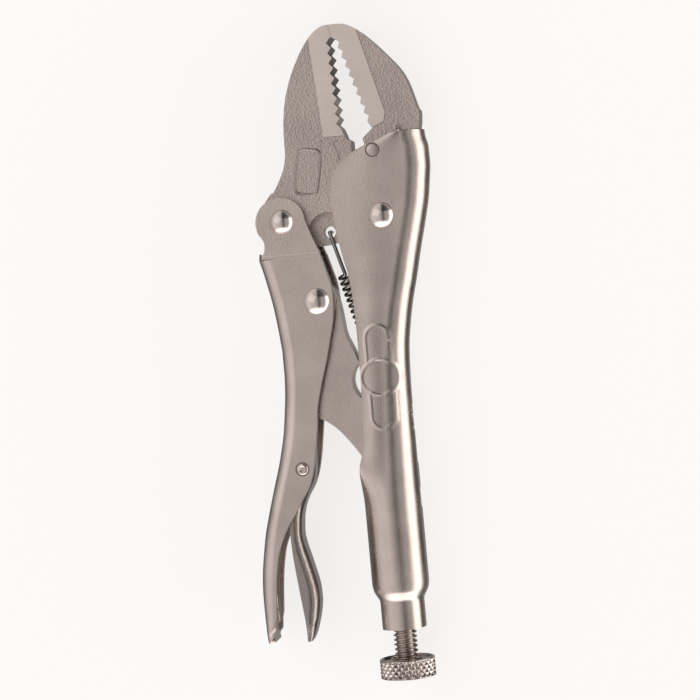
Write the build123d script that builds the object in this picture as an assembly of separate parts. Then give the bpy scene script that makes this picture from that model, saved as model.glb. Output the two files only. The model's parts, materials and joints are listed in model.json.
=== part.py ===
"""Locking pliers with straight serrated jaws, an over-centre toggle and an adjusting screw.

Layout frame: the pliers lie flat, +Y runs up the screw axis towards the jaws, +X points from the lever to the
fixed handle's back, and Z is across the thickness. X = 0 is the screw axis, Y = 0 the height of the main pivot and
Z = 0 the middle plane. At the end everything moves so that the origin is the middle of the footprint, with the
lowest point at Z = 0. All sizes are millimetres.
"""

from build123d import *
import copy
import os

# ---------------------------------------------------------------- overall sizes
BITE = 51.6            # main pivot to the jaw tips
GRIP = 110.8           # main pivot to the end of the handle's threaded neck
JAW_THICK = 9.4        # forged jaws, where they run between sheet cheeks
SHEET = 1.9            # pressed steel of the handle and the lever

# ---------------------------------------------------------------- linkage centres
PIVOT = Vector(4.4, 0)          # rivet that joins the moving jaw to the fixed handle
EAR = Vector(-22.35, 0.6)       # rivet that joins the moving jaw's ear to the lever
SEAT = Vector(0, -65.5)         # middle of the toggle link's round nose, over the screw's tip
CRANK = 23.1                    # from the ear rivet to the knee, where the link is riveted to the lever
OVER_CENTRE = 0.18              # how far the knee stands past the line from ear to seat when locked
RELEASE = Vector(-22.6, -65.6)  # rivet of the release lever

# ---------------------------------------------------------------- fits and clearances
SIDE_GAP = 0.15        # between a sheet cheek and the forging or link beside it
RUNNING = 0.05         # radial, a rivet in a part that turns on it
SNUG = 0.02            # radial, a rivet in the sheet that it is closed on
NOSE_GAP = 2.4         # between the link's nose and the screw's tip
SEAM_GAP = 0.06        # between the plain tips when closed
SWEEP_GAP = 0.5        # between parts that swing past each other
SLOT_GAP = 0.4         # either side of the link in the tube's slot

# ---------------------------------------------------------------- rivets
PIVOT_SHANK, PIVOT_HEAD = 2.6, 3.35
EAR_SHANK, EAR_HEAD = 2.3, 3.2
KNEE_SHANK, KNEE_HEAD = 2.4, 3.5
HEAD_RISE = 1.6        # height of a domed head
RELEASE_SHANK, RELEASE_HEAD, RELEASE_BORE = 1.15, 1.6, 0.7
RELEASE_RIM = 0.35     # height of the tubular rivet's rolled rim
JAW_PIN = 1.65         # flush cross pin through the handle and the fixed jaw
JAW_PIN_AT = Vector(3.7, 17.4)

# ---------------------------------------------------------------- jaws
GROUND_RISE = 0.3      # how far the ground faces beside the teeth stand out of the forging
TOOTH_DEPTH = 1.1
TEETH = 9              # full teeth on each jaw
TIP_FLAT = 3.4         # length of the plain tips that meet above the teeth
TIP_SEAM = Vector(-4.75, BITE - TIP_FLAT)   # foot of the line where the plain tips meet
EAR_ROUND = 6.6        # radius of the ears round the ear rivet
EAR_OFF = Vector(-0.3, -0.3)   # how far the ears' round stands off the rivet's centre
BOSS_ROUND = 6.2       # radius of the moving jaw round the main pivot
HEEL_TOP = 20.4        # top of both heels, below the teeth
HEEL_STEP = 0.4        # the moving jaw's heel is thinner than its body by this on each side
SPRING_HOLE = 1.65
SPRING_HOLE_AT = Vector(-10.2, -3.3)
SPRING_WEB = 4.0       # thickness of the moving jaw round the spring hole
SPRING_RECESS = 5.4    # radius of that thinned area
PANEL = (6.4, 12.2)    # blank size panel on the moving jaw, width and height
PANEL_AT, PANEL_TURN = Vector(-14.3, 13.2), -10.5
PANEL_GROOVE = 0.3

# ---------------------------------------------------------------- fixed handle
TUBE_ROUND = 7.6       # outside radius of the closed tube
NECK_ROUND = 5.85      # outside radius of the threaded neck
NECK_LENGTH = 7.6
SHOULDER = 4.7         # length over which the tube is drawn down to the neck
BACK_ROUND = 6.0       # bend radius of the open channel's back, outside
CLOSING = 12.5         # length below the seat over which the channel closes to a tube
TUBE_FLAT = 0.15       # half width of the flats left on the closed channel
ANCHOR_Y = 50.0        # spring anchor, below the main pivot
ANCHOR_SLOT = (4.4, 7.0)   # pressed window behind the anchor, width and length

# ---------------------------------------------------------------- toggle link and release lever
LINK_WIDTH = 7.8
LINK_SHEET = 1.9
NOSE_ROUND = 3.0
KNEE_BOSS = 5.0        # radius of the wider boss round the link's knee
RELEASE_SHEET = 1.4
RELEASE_SWING = 5.0    # degrees that the release lever can be pulled

# ---------------------------------------------------------------- lever
LEVER_TAIL = 112.0     # main pivot height to the end of the lever
LEVER_ROUND = 3.4      # bend radius of the lever's back, outside
CREASE = 8.8           # where the ears step in to the channel, below the main pivot
CREASE_DROP = 1.2      # from the crease to the full channel
WIDENING = 0.65        # how far the channel's cheeks step out from the ears, each side

# ---------------------------------------------------------------- adjusting screw and spring
SCREW_ROUND = 3.175    # quarter-inch thread, 20 turns to the inch
SCREW_PITCH = 1.27
SCREW_SHOWN = 8.1      # thread between the neck and the knob at rest
THREAD_GAP = 0.06      # radial, in the neck
KNOB_ROUND = 7.5
KNOB_LENGTH = 5.2
KNOB_BORE_DEPTH = 3.6  # how far the screw goes into the knob
WIRE = 1.0
COIL_ROUND = 2.5       # outside radius of the coil
COIL_TURNS = 18

# ---------------------------------------------------------------- values that follow
CHEEK = JAW_THICK / 2 + SIDE_GAP               # inner face of the handle's and the ears' cheeks
CHEEK_OUT = CHEEK + SHEET                      # their outer face
LEVER_CHEEK = CHEEK + WIDENING                 # inner face of the lever's channel
LEVER_OUT = LEVER_CHEEK + SHEET
RELEASE_HALF = LEVER_CHEEK - SIDE_GAP          # half width of the release lever
LINE = (SEAT - EAR).normalized()
KNEE = EAR + LINE * CRANK + Vector(-LINE.Y, LINE.X) * OVER_CENTRE
NECK_END = -GRIP
NECK_TOP = NECK_END + NECK_LENGTH
TUBE_TOP = SEAT.Y - CLOSING
SCREW_TIP = SEAT.Y - NOSE_ROUND - NOSE_GAP
KNOB_TOP = NECK_END - SCREW_SHOWN
TAIL = -LEVER_TAIL
SPRING_FOOT = Vector(TUBE_ROUND - SHEET - 3.2, -ANCHOR_Y)


# ---------------------------------------------------------------- small helpers
def slab(face, half):
    """A flat plate, half each side of the middle plane."""
    return extrude(face, amount=half, both=True)


def layer(face, low, high):
    """A flat plate from one height to another."""
    return Pos(0, 0, low) * extrude(face, amount=high - low)


def both_sides(piece):
    """A piece and its mirror image across the middle plane."""
    return piece + mirror(piece, about=Plane.XY)


def post(centre, radius, half):
    """A round bar across the middle plane."""
    return Pos(centre.X, centre.Y, 0) * Cylinder(radius, 2 * half)


def disc(centre, radius):
    return Pos(centre.X, centre.Y) * Circle(radius)


def channel_section(y, left, right, half, bend):
    """A rounded rectangle across the handle or the lever, at height y."""
    where = Plane(origin=((left + right) / 2, y, 0), x_dir=(1, 0, 0), z_dir=(0, 1, 0))
    return where * RectangleRounded(right - left, 2 * half, bend)


def closed(*runs):
    """A face inside a chain of lines and curves."""
    return make_face(Curve() + list(runs))


def tooth_line(top, foot, depth, count):
    """Points of a row of pointed teeth from top to foot; they are cut to the given side of the line."""
    along = (foot - top) / count
    aside = Vector(along.Y, -along.X).normalized() * depth
    points = [top]
    for n in range(count):
        points += [top + along * (n + 0.5) + aside, top + along * (n + 1)]
    return points


# ---------------------------------------------------------------- forged jaws
MOVING_TEETH = tooth_line(TIP_SEAM + Vector(-0.45, -0.1), Vector(-4.35, HEEL_TOP + 3.5), TOOTH_DEPTH, TEETH)
FIXED_TEETH = tooth_line(TIP_SEAM + Vector(0.75, -0.5), Vector(2.9, HEEL_TOP + 4.6), -TOOTH_DEPTH * 0.85, TEETH)
SEAM_TOP = Vector(-5.35, BITE)
SEAM_SHIFT = Vector(-SEAM_GAP, 0)


def moving_jaw_face():
    """Outline of the moving jaw: tip, curved back, ear, spring lobe, pivot boss, heel and teeth."""
    middle = EAR + EAR_OFF
    seam_top, seam_foot = SEAM_TOP + SEAM_SHIFT, TIP_SEAM + SEAM_SHIFT
    back = Spline(
        seam_top, (-8.9, BITE - 1.2), (-14.4, BITE - 8.2), (-18.8, BITE - 19.6), (-19.9, HEEL_TOP + 1),
        (-21.0, HEEL_TOP - 6.4), (-24.5, EAR.Y + 7.4), middle + Vector(-EAR_ROUND * 0.8, EAR_ROUND * 0.6),
        tangents=((-1, 0.0), (-0.6, -0.8)),
    )
    ear = RadiusArc(back @ 1, middle + Vector(0, -EAR_ROUND), -EAR_ROUND)
    low_lobe = SPRING_HOLE_AT + Vector(-1.0, -SPRING_HOLE * 2.1)
    boss_foot = PIVOT + Vector(BOSS_ROUND, 0).rotate(Axis.Z, 245)
    boss_head = PIVOT + Vector(BOSS_ROUND, 0).rotate(Axis.Z, 112)
    belly = Spline(ear @ 1, low_lobe, boss_foot, tangents=((1, 0), (0.9, -0.42)))
    boss = ThreePointArc(belly @ 1, PIVOT + Vector(BOSS_ROUND, 0), boss_head)
    heel = Polyline(boss @ 1, (-2.1, HEEL_TOP - 6.0), (-2.1, HEEL_TOP), (-3.4, HEEL_TOP + 0.8), MOVING_TEETH[-1])
    teeth = Polyline(*reversed(MOVING_TEETH), seam_foot, seam_top)
    return closed(back, ear, belly, boss, heel, teeth)


def fixed_jaw_face():
    """Outline of the fixed jaw: tip, curved back, shank inside the handle, heel and teeth."""
    back = Spline(
        SEAM_TOP, (-0.9, BITE - 0.3), (4.6, BITE - 4.1), (9.6, BITE - 9.6), (14.1, BITE - 16.6),
        (16.5, BITE - 24.4), (16.6, HEEL_TOP + 3.4), tangents=((1, 0.02), (-0.1, -1)),
    )
    clear = BOSS_ROUND + SWEEP_GAP
    shank = Polyline(
        back @ 1, (16.2, HEEL_TOP + 1.4), (16.4, HEEL_TOP - 1), (16.0, HEEL_TOP - 8),
        PIVOT + Vector(clear, 0).rotate(Axis.Z, 48),
    )
    round_boss = ThreePointArc(
        shank @ 1, PIVOT + Vector(clear, 0).rotate(Axis.Z, 72), PIVOT + Vector(clear, 0).rotate(Axis.Z, 96)
    )
    heel = Polyline(
        round_boss @ 1, (1.6, HEEL_TOP - 2), (1.2, HEEL_TOP + 0.4), (4.0, HEEL_TOP + 2.8), FIXED_TEETH[-1]
    )
    teeth = Polyline(*reversed(FIXED_TEETH), TIP_SEAM, SEAM_TOP)
    return closed(back, shank, round_boss, heel, teeth)


def ground_band(edge, far_x):
    """The flat ground strip beside a row of teeth, between its outer edge and a line far past the teeth."""
    return closed(Polyline(*edge, (far_x, edge[-1][1]), (far_x, edge[0][1]), edge[0]))


def make_moving_jaw():
    face = moving_jaw_face()
    half = JAW_THICK / 2
    strip = ground_band([(-12.5, BITE + 2), (-10.9, BITE - 3.8), (-9.2, HEEL_TOP + 1.6)], 2)
    jaw = slab(face, half) + slab(face & strip, half + GROUND_RISE)
    heel = closed(
        Polyline((-7.0, HEEL_TOP + 0.4), (2, HEEL_TOP + 0.4), (2, HEEL_TOP - 7.5), (-4.6, HEEL_TOP - 7.5),
                 (-7.0, HEEL_TOP + 0.4))
    )
    jaw -= both_sides(layer(heel, half - HEEL_STEP, half + 1))
    jaw -= both_sides(layer(disc(SPRING_HOLE_AT, SPRING_RECESS), SPRING_WEB / 2, half + 1))
    frame = Rot(0, 0, PANEL_TURN) * (
        RectangleRounded(*PANEL, 1.0) - RectangleRounded(PANEL[0] - 0.8, PANEL[1] - 0.8, 0.6)
    )
    jaw -= both_sides(layer(Pos(PANEL_AT.X, PANEL_AT.Y) * frame, half - PANEL_GROOVE, half + 1))
    jaw -= post(PIVOT, PIVOT_SHANK + RUNNING, half + 1)
    jaw -= post(EAR, EAR_SHANK + RUNNING, half + 1)
    return jaw - post(SPRING_HOLE_AT, SPRING_HOLE, half + 1)


def make_fixed_jaw():
    face = fixed_jaw_face()
    half = JAW_THICK / 2
    strip = ground_band([(1.0, BITE + 2), (2.3, BITE - 3.1), (7.8, HEEL_TOP + 6.6), (7.2, HEEL_TOP + 4.4),
                         (4.0, HEEL_TOP + 3.0)], -8)
    jaw = slab(face, half) + slab(face & strip, half + GROUND_RISE)
    top_edge = HEEL_TOP + 1.4 + SIDE_GAP
    sheathed = Pos(10, top_edge - 20) * Box(60, 40, 4 * CHEEK_OUT)
    jaw -= sheathed - loft(open_channel(SHEET + SIDE_GAP))
    return jaw - post(JAW_PIN_AT, JAW_PIN + SNUG, half + 1)


# ---------------------------------------------------------------- fixed handle
BACK_LINE = (
    (HEEL_TOP + 5, 17.2), (HEEL_TOP - 3.4, 18.1), (7.5, 17.5), (-4, 15.1), (-16, 12.1), (-27, 9.45),
    (-37, 8.05), (-47, TUBE_ROUND),
)


def open_channel(inset):
    """Sections of the handle's open channel, from the top down; with an inset, of the hollow inside it."""
    far = 36.0
    return [
        channel_section(y, right - far + inset, right - inset, CHEEK_OUT - inset, BACK_ROUND - inset)
        for y, right in BACK_LINE
    ]


def handle_body(inset, lap):
    """The handle's outer form, or with an inset the hollow inside it; its lower end laps into the tube's wall."""
    sections = open_channel(inset)
    tube = TUBE_ROUND - inset + lap
    closing = ((6.0, 16.0, 0.25), (-0.5, 12.0, 0.4), (-4.5, 9.2, 0.65), (-8.5, 8.0, 0.9))
    for below, left, share in closing:
        half = CHEEK_OUT - inset + (tube - CHEEK_OUT + inset) * share
        bend = BACK_ROUND - inset + (tube - TUBE_FLAT - BACK_ROUND + inset) * share
        sections.append(channel_section(SEAT.Y + below, -left + inset, tube, half, bend))
    sections.append(channel_section(TUBE_TOP - 1.0, -tube, tube, tube, tube - TUBE_FLAT))
    return loft(sections)


def handle_trim():
    """Side outline that the channel is cut to: the top edge, the lobe over the pin and the open front edges."""
    front = Spline(
        (9.5, HEEL_TOP + 1.4), (4.8, HEEL_TOP + 0.1), (0.6, HEEL_TOP - 1.9), (-4.3, HEEL_TOP - 4.7),
        (-7.6, HEEL_TOP - 9.4), (-8.4, 4.5), (-8.0, -2.5), (-6.3, -11.5), (-5.2, -19.5), (-4.75, -30),
        (-4.8, SEAT.Y + 21), (-5.2, SEAT.Y + 10), (-5.8, SEAT.Y + 4.5), (-7.1, SEAT.Y), (-TUBE_ROUND, SEAT.Y - 3),
        tangents=((-1, -0.05), (-0.1, -1)),
    )
    rest = Polyline(
        (-TUBE_ROUND, SEAT.Y - 3), (-TUBE_ROUND - 1, TUBE_TOP), (-TUBE_ROUND - 1, NECK_END - 1),
        (30, NECK_END - 1), (30, HEEL_TOP + 1.4), (9.5, HEEL_TOP + 1.4),
    )
    return closed(front, rest)


def tube_profile():
    """Half section of the tube, its drawn-down shoulder and the neck, about the screw axis."""
    shoulder_top = NECK_TOP + SHOULDER
    bore = SCREW_ROUND + THREAD_GAP
    shoulder = Spline(
        (TUBE_ROUND, shoulder_top), (TUBE_ROUND - 0.55, NECK_TOP + 1.6), (NECK_ROUND, NECK_TOP),
        tangents=((0, -1), (-0.6, -1)),
    )
    inner = TUBE_ROUND - SHEET
    rest = Polyline(
        (NECK_ROUND, NECK_TOP), (NECK_ROUND, NECK_END + 0.4), (NECK_ROUND - 0.4, NECK_END), (bore, NECK_END),
        (bore, NECK_TOP + 0.5), (inner, shoulder_top - 0.8), (inner, TUBE_TOP), (TUBE_ROUND, TUBE_TOP),
        (TUBE_ROUND, shoulder_top),
    )
    return closed(shoulder, rest)


def link_slot():
    """Slot in the closing tube that lets the link swing out."""
    half = LINK_WIDTH / 2 + SLOT_GAP
    end = SEAT.Y - 6.5 + half
    side = Plane(origin=(-TUBE_ROUND - 8, 0, 0), x_dir=(0, 1, 0), z_dir=(1, 0, 0))
    shape = Pos(end + 15, 0) * Rectangle(30, 2 * half) + Pos(end, 0) * Circle(half)
    return extrude(side * shape, amount=TUBE_ROUND + 5)


def spring_anchor():
    """Tongue bent inwards from the top edge of the back's window, with an eye for the spring's lower hook."""
    outer, inner = TUBE_ROUND - SHEET / 2, SPRING_FOOT.X - 1.7
    tongue = Pos((outer + inner) / 2, -ANCHOR_Y, 0) * Box(outer - inner, SHEET, ANCHOR_SLOT[0])
    tongue = fillet(tongue.edges().filter_by(Axis.Y).sort_by(Axis.X)[:2], 1.2)
    return tongue - Pos(SPRING_FOOT.X, -ANCHOR_Y, 0) * Rot(90, 0, 0) * Cylinder(WIRE / 2 + 0.5, 2 * SHEET)


def make_fixed_handle():
    shell = (handle_body(0, -0.08) - handle_body(SHEET, 0.03)) & slab(handle_trim(), 3 * TUBE_ROUND)
    handle = shell + revolve(tube_profile(), Axis.Y)
    window_half = ANCHOR_SLOT[0] / 2
    window_at = Pos(TUBE_ROUND, -ANCHOR_Y - SHEET / 2 - ANCHOR_SLOT[1] / 2, 0)
    handle -= window_at * Box(2 * SHEET + 1.6, ANCHOR_SLOT[1], 2 * window_half)
    handle -= link_slot()
    handle += spring_anchor()
    handle -= post(PIVOT, PIVOT_SHANK + SNUG, 2 * TUBE_ROUND)
    return handle - post(JAW_PIN_AT, JAW_PIN + SNUG, 2 * TUBE_ROUND)


# ---------------------------------------------------------------- lever
LEVER_BACK = (
    (-6.0, -30.2), (-16.5, -28.3), (-27.5, -26.5), (-38.5, -25.7), (-49.5, -26.3), (-59.5, -28.3),
    (-68.5, -30.8), (-80.5, -34.2), (-91, -36.2), (-101, -36.8), (TAIL - 1, -36.2),
)


def ear_face():
    """Outline of the lever's wide ears, down past the crease."""
    middle = EAR + EAR_OFF
    round_ear = disc(middle, EAR_ROUND + 0.1)
    neck = closed(Polyline(
        middle + Vector(-EAR_ROUND * 0.94, -EAR_ROUND * 0.35), (-27.7, -4.6), (-28.2, -7.0), (-30.0, -CREASE + 0.1),
        (-29.0, -CREASE - 5), (-11.0, -CREASE - 5), (-12.3, -CREASE - CREASE_DROP), (-15.0, -3.5),
        middle + Vector(EAR_ROUND * 0.98, EAR_ROUND * 0.2), middle,
        middle + Vector(-EAR_ROUND * 0.94, -EAR_ROUND * 0.35),
    ))
    return round_ear + neck


def lever_side():
    """Side outline of the lever below the ears: front edge with its belly over the link, and the tail."""
    top = -CREASE - CREASE_DROP
    front = Spline(
        (-12.3, top), (-10.5, -19.5), (-11.1, -28.5), (-13.6, -38), (-16.6, -49.5), (-18.5, -60),
        (-20.1, -68.3), (-23.7, -74.5), (-28.4, -82), (-31.0, -88), (-32.6, -95.5), (-33.4, -104),
        (-34.8, TAIL + 1.2), tangents=((0.35, -0.9), (-0.6, -0.8)),
    )
    left = Polyline(
        (-34.8, TAIL + 1.2), (-36.0, TAIL), (-42, TAIL), (-42, top), (-12.3, top)
    )
    return closed(front, left)


def cheek_band():
    """Section of both cheeks where the wide ears step in to the narrower channel, run along X."""
    side = Plane(origin=(-45, 0, 0), x_dir=(0, 1, 0), z_dir=(1, 0, 0))
    step, top = -CREASE, EAR.Y + EAR_ROUND + 2
    outer = [(top, CHEEK_OUT), (step + 1.3, CHEEK_OUT), (step - CREASE_DROP, LEVER_OUT)]
    inner = [(step - CREASE_DROP, LEVER_CHEEK), (step + 0.9, CHEEK), (top, CHEEK)]
    band = closed(Polyline(*outer, *inner, outer[0]))
    return both_sides(extrude(side * band, amount=45))


def lever_channel(inset):
    far = 34.0
    return loft([
        channel_section(y, left + inset, left + far, LEVER_OUT - inset, LEVER_ROUND - inset)
        for y, left in LEVER_BACK
    ])


def make_lever():
    channel = (lever_channel(0) - lever_channel(SHEET)) & slab(lever_side(), 20)
    lever = channel + (cheek_band() & slab(ear_face(), 20))
    lever -= post(EAR, EAR_SHANK + SNUG, 20)
    lever -= post(KNEE, KNEE_SHANK + SNUG, 20)
    return lever - post(RELEASE, RELEASE_SHANK + SNUG, 20)


# ---------------------------------------------------------------- toggle link
def link_face():
    """Side outline of the link, from the knee to the round nose."""
    nose_left = SEAT + Vector(-NOSE_ROUND, 0).rotate(Axis.Z, 35)
    nose_right = SEAT + Vector(NOSE_ROUND, 0).rotate(Axis.Z, 20)
    head = KNEE + Vector(0, 5.4)
    right = Spline(
        head, (KNEE.X + 4.2, KNEE.Y + 2.6), (-8.4, SEAT.Y + 35), (-5.2, SEAT.Y + 26.7),
        tangents=((1, 0), (0.35, -1)),
    )
    notch = ThreePointArc(right @ 1, (-7.6, SEAT.Y + 22), (-4.6, SEAT.Y + 16.7))
    to_nose = Spline(notch @ 1, (-0.2, SEAT.Y + 9), nose_right, tangents=((0.6, -0.8), (0.3, -1)))
    nose = ThreePointArc(nose_right, SEAT + Vector(0, -NOSE_ROUND), nose_left)
    low = Spline(
        nose_left, (-6.6, SEAT.Y + 1.6), (-11.5, SEAT.Y + 8.4), (-18.6, SEAT.Y + 13.2),
        tangents=((-1, 0.15), (-1, 0.25)),
    )
    left = Polyline(low @ 1, (-19.6, SEAT.Y + 15.5), (-18.9, KNEE.Y - 6), (-19.4, KNEE.Y + 1.5))
    top = ThreePointArc(left @ 1, KNEE + Vector(-3.6, 4.2), head)
    return closed(right, notch, to_nose, nose, low, left, top)


def link_hollow():
    """The space between the link's cheeks: it stops at the web on the right and at the solid nose."""
    web = Spline(
        (KNEE.X - 2.4, KNEE.Y + 3.5), (KNEE.X + 2.0, KNEE.Y + 1.6), (-10.6, SEAT.Y + 34.5),
        (-9.6, SEAT.Y + 22), (-6.8, SEAT.Y + 15.5), (-3.4, SEAT.Y + 9),
        tangents=((1, 0), (0.6, -0.8)),
    )
    return closed(web, Polyline(
        web @ 1, (-5.6, SEAT.Y + 5.2), (-10, SEAT.Y + 3), (-26, SEAT.Y + 10), (-26, KNEE.Y + 3.5), web @ 0
    ))


def make_link():
    link = slab(link_face(), LINK_WIDTH / 2) - slab(link_hollow(), LINK_WIDTH / 2 - LINK_SHEET)
    link += both_sides(layer(disc(KNEE, KNEE_BOSS), LINK_WIDTH / 2 - LINK_SHEET, LEVER_CHEEK - SIDE_GAP))
    return link - post(KNEE, KNEE_SHANK + RUNNING, 20)


# ---------------------------------------------------------------- release lever
def release_face():
    """Side outline of the release lever: nose beside the link, pivot, and the finger tail."""
    nose = Vector(-22.2, RELEASE.Y + 14.6)
    back = Spline(
        nose, (-20.9, RELEASE.Y + 6), (-19.9, RELEASE.Y - 2.5), (-22.4, RELEASE.Y - 8.6), (-24.7, -84),
        (-23.3, -91.5), (-21.6, -100), (-22.7, -107.5), (-25.0, TAIL - 0.8),
        tangents=((1, -0.6), (-0.7, -0.8)),
    )
    front = Spline(
        (-26.2, TAIL - 0.2), (-25.7, -105.5), (-26.9, -93.5), (-27.6, -83.5), (-26.6, -75), (-25.3, RELEASE.Y + 2),
        (-24.4, RELEASE.Y + 9), nose, tangents=((0.2, 1), (1, 0.6)),
    )
    tip = Line(back @ 1, front @ 0)
    return closed(back, tip, front)


def make_release_lever():
    face = release_face()
    lever = slab(face, RELEASE_HALF)
    hollow = Pos(-RELEASE_SHEET, 0.3) * face + Pos(-RELEASE_SHEET - 1.6, 0.6) * face + Pos(-RELEASE_SHEET - 3.4, 0.9) * face
    lever -= slab(hollow, RELEASE_HALF - RELEASE_SHEET)
    return lever - post(RELEASE, RELEASE_SHANK + RUNNING, 20)


# ---------------------------------------------------------------- rivets and pin
def domed_rivet(centre, shank, head, outer):
    """A solid rivet closed on both outer faces, with a low dome on each side."""
    ball = (head * head + HEAD_RISE * HEAD_RISE) / (2 * HEAD_RISE)
    start = outer + 0.01
    profile = closed(
        Line((0, 0), (shank, 0)), Line((shank, 0), (shank, start)), Line((shank, start), (head, start)),
        RadiusArc((head, start), (0, start + HEAD_RISE), -ball), Line((0, start + HEAD_RISE), (0, 0)),
    )
    half = revolve(Plane.XZ * profile, Axis.Z)
    return Pos(centre.X, centre.Y, 0) * both_sides(half)


def make_release_rivet():
    """A tubular rivet with a rolled rim on each side."""
    start = LEVER_OUT + 0.01
    rivet = post(RELEASE, RELEASE_SHANK, start + RELEASE_RIM)
    rim = layer(disc(RELEASE, RELEASE_HEAD), start, start + RELEASE_RIM)
    rivet += both_sides(fillet(rim.edges().group_by(Axis.Z)[-1], RELEASE_RIM * 0.6))
    return rivet - post(RELEASE, RELEASE_BORE, 20)


# ---------------------------------------------------------------- adjusting screw and knob
def make_screw():
    """Threaded rod with a rounded tip; the thread is cut as closed grooves, one for each turn."""
    root = SCREW_ROUND - 0.61 * SCREW_PITCH
    top, foot = SCREW_TIP, KNOB_TOP - KNOB_BORE_DEPTH
    points = [(0, top), (root - 0.6, top), (root, top - 0.8)]
    y = top - 1.4
    while y - SCREW_PITCH > KNOB_TOP + 0.9:
        points += [(root, y), (SCREW_ROUND, y - 0.44 * SCREW_PITCH), (SCREW_ROUND, y - 0.56 * SCREW_PITCH)]
        y -= SCREW_PITCH
    points += [(root, y), (root, foot), (0, foot), (0, top)]
    return revolve(closed(Polyline(*points)), Axis.Y)


def make_knob():
    root = SCREW_ROUND - 0.61 * SCREW_PITCH
    edge = 0.5
    foot = KNOB_TOP - KNOB_LENGTH
    profile = Polyline(
        (root + SNUG, KNOB_TOP), (KNOB_ROUND - edge, KNOB_TOP), (KNOB_ROUND, KNOB_TOP - edge),
        (KNOB_ROUND, foot + edge), (KNOB_ROUND - edge, foot), (0, foot), (0, KNOB_TOP - KNOB_BORE_DEPTH - SNUG),
        (root + SNUG, KNOB_TOP - KNOB_BORE_DEPTH - SNUG), (root + SNUG, KNOB_TOP),
    )
    return revolve(closed(profile), Axis.Y)


# ---------------------------------------------------------------- return spring
def wire_run(points):
    """Round wire along straight runs, with a ball at every point that is a hair larger than the wire."""
    run = Part()
    for a, b in zip(points, points[1:]):
        span = b - a
        run += Plane(origin=(a + b) * 0.5, z_dir=span) * Cylinder(WIRE / 2, span.length)
    for point in points:
        run += Pos(*point) * Sphere(WIRE / 2 + 0.02)
    return run


def make_spring():
    """Extension spring: a hook through the jaw's hole, the coil, and a hook in the handle's tongue."""
    top, foot = SPRING_HOLE_AT, SPRING_FOOT
    line = foot - top
    along = line.normalized()
    mean = COIL_ROUND - WIRE / 2
    start, end = 0.25 * line.length, 0.84 * line.length
    coil_plane = Plane(origin=top + along * start, x_dir=(0, 0, 1), z_dir=along)
    path = Helix((end - start) / COIL_TURNS, end - start, mean)
    coil = coil_plane * sweep(Plane(origin=path @ 0, z_dir=path % 0) * Circle(WIRE / 2), path=path, is_frenet=True)
    over_web = SPRING_WEB / 2 + WIRE / 2 + 0.1
    up = Vector(0, 0, 1)
    hook = wire_run([
        top + up * -(over_web - 0.2), top + up * over_web, top + along * (start - 2) + up * over_web,
        top + along * start + up * mean,
    ])
    past = foot + along * (SHEET / 2 + WIRE)
    tail = wire_run([
        top + along * end + up * mean, foot - along * (SHEET / 2 + 1.2), past, past + up * 1.4,
    ])
    return coil + hook + tail


def layout():
    """Every sub-part by node name, in the layout frame."""
    return {
        "fixed_handle": make_fixed_handle(),
        "fixed_jaw": make_fixed_jaw(),
        "fixed_jaw_pin": post(JAW_PIN_AT, JAW_PIN, CHEEK_OUT),
        "moving_jaw": make_moving_jaw(),
        "jaw_pivot_rivet": domed_rivet(PIVOT, PIVOT_SHANK, PIVOT_HEAD, CHEEK_OUT),
        "lever_handle": make_lever(),
        "lever_rivet": domed_rivet(EAR, EAR_SHANK, EAR_HEAD, CHEEK_OUT),
        "toggle_link": make_link(),
        "link_rivet": domed_rivet(KNEE, KNEE_SHANK, KNEE_HEAD, LEVER_OUT),
        "release_lever": make_release_lever(),
        "release_rivet": make_release_rivet(),
        "adjusting_screw": make_screw(),
        "screw_knob": make_knob(),
        "return_spring": make_spring(),
    }


def shapes():
    """Every sub-part by node name, moved so that the origin is the middle of the footprint."""
    parts = layout()
    box = Compound(children=[copy.copy(part) for part in parts.values()]).bounding_box()
    to_row = Pos(-(box.min.X + box.max.X) / 2, -(box.min.Y + box.max.Y) / 2, -box.min.Z)
    return {name: to_row * part for name, part in parts.items()}, to_row


if __name__ == "__main__":
    os.makedirs("parts", exist_ok=True)
    made, moved_by = shapes()
    print("layout moved by", moved_by.position)
    for name, shape in made.items():
        print(name, "valid", shape.is_valid, "solids", len(shape.solids()), round(shape.volume))
        export_step(shape, f"parts/{name}.step")
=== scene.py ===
import bisect
import bpy
import bmesh
import json
import math
from mathutils import Matrix, Vector


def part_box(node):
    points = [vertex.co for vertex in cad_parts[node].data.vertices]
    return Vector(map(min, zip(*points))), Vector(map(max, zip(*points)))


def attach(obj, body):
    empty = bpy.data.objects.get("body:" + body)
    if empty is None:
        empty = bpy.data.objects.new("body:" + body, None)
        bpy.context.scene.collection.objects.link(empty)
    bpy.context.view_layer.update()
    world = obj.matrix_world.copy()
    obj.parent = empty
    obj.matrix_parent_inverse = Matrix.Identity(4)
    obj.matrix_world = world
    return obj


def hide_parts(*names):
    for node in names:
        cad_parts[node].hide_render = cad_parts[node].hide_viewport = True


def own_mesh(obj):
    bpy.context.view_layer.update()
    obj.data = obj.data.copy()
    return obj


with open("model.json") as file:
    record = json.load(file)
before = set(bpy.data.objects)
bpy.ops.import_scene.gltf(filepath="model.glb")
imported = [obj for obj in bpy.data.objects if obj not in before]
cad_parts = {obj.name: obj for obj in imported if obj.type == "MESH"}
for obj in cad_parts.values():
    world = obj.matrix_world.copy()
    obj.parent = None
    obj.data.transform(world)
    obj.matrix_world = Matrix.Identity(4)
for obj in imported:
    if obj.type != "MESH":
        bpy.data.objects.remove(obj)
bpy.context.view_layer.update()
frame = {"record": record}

hinges = {joint["name"]: joint.get("pos_m") for joint in frame["record"]["behaviour"]["joints"]}
main_pivot = Vector(hinges["jaw_hinge"])

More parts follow.
